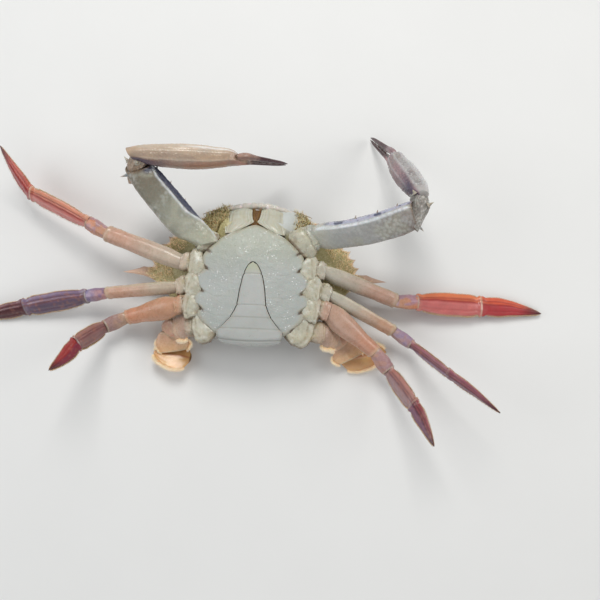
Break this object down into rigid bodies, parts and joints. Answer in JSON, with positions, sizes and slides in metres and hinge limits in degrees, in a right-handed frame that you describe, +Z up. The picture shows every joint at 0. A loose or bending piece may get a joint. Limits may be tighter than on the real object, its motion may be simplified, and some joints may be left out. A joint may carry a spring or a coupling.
{
  "type": "blue swimming crab",
  "caption": "Life-size swimming crab lying on its back, belly up, with long ridged claws, flat-bladed legs, rear paddles and a long spine on each side of the shell.",
  "frame": {"origin": "on the small flat at the crown of the carapace that the crab rests on, under the middle of the body", "axes": "+Z up, out of the belly, which faces up; +Y towards the head and mouth; +X towards the crab's own left side"},
  "size_m": [0.3829, 0.2085, 0.0686],
  "materials": {
    "shell": "granular olive-brown shell, damp",
    "underside": "smooth grey-white shell with a wet sheen",
    "apron": "smooth cream plate with a dark seam round it",
    "mouthparts": "cream, finely ridged, hairy at the edges",
    "eye": "dark glossy eye on a pale stalk",
    "feeler": "ringed brown feeler",
    "claw_arm": "grey-white shell with blue edges, wet",
    "claw_hand": "ridged tan to lilac shell, wet",
    "claw_finger": "dark maroon toothed finger, wet",
    "leg_peach": "cream to peach shell, wet",
    "leg_lilac": "lilac to purple-brown shell, wet",
    "leg_red": "orange-red ridged blade with a darker tip and hairy edges",
    "paddle": "thin orange-yellow blade with a cream fringe"
  },
  "bodies": {
    "root": {"carapace": "shell", "sternum": "underside", "abdomen": "apron", "maxilliped_left": "mouthparts", "eye_left": "eye", "antenna_left": "feeler", "claw_left_base": "underside", "claw_left_merus": "claw_arm", "claw_left_carpus": "claw_arm", "claw_left_palm": "claw_hand", "claw_left_dactyl": "claw_finger", "leg_2_left_base": "underside", "leg_2_left_merus": "leg_peach", "leg_2_left_carpus": "leg_lilac", "leg_2_left_propodus": "leg_red", "leg_2_left_dactyl": "leg_red", "leg_3_left_base": "underside", "leg_3_left_merus": "leg_peach", "leg_3_left_carpus": "leg_lilac", "leg_3_left_propodus": "leg_red", "leg_3_left_dactyl": "leg_red", "leg_4_left_base": "underside", "leg_4_left_merus": "leg_peach", "leg_4_left_carpus": "leg_lilac", "leg_4_left_propodus": "leg_red", "leg_4_left_dactyl": "leg_red", "leg_5_left_base": "underside", "leg_5_left_merus": "leg_lilac", "leg_5_left_carpus": "leg_lilac", "leg_5_left_propodus": "leg_lilac", "leg_5_left_dactyl": "paddle", "maxilliped_right": "mouthparts", "eye_right": "eye", "antenna_right": "feeler", "claw_right_base": "underside", "claw_right_merus": "claw_arm", "claw_right_carpus": "claw_arm", "claw_right_palm": "claw_hand", "claw_right_dactyl": "claw_finger", "leg_2_right_base": "underside", "leg_2_right_merus": "leg_peach", "leg_2_right_carpus": "leg_lilac", "leg_2_right_propodus": "leg_red", "leg_2_right_dactyl": "leg_red", "leg_3_right_base": "underside", "leg_3_right_merus": "leg_peach", "leg_3_right_carpus": "leg_lilac", "leg_3_right_propodus": "leg_red", "leg_3_right_dactyl": "leg_red", "leg_4_right_base": "underside", "leg_4_right_merus": "leg_peach", "leg_4_right_carpus": "leg_lilac", "leg_4_right_propodus": "leg_red", "leg_4_right_dactyl": "leg_red", "leg_5_right_base": "underside", "leg_5_right_merus": "leg_lilac", "leg_5_right_carpus": "leg_lilac", "leg_5_right_propodus": "leg_lilac", "leg_5_right_dactyl": "paddle"}
  },
  "joints": []
}
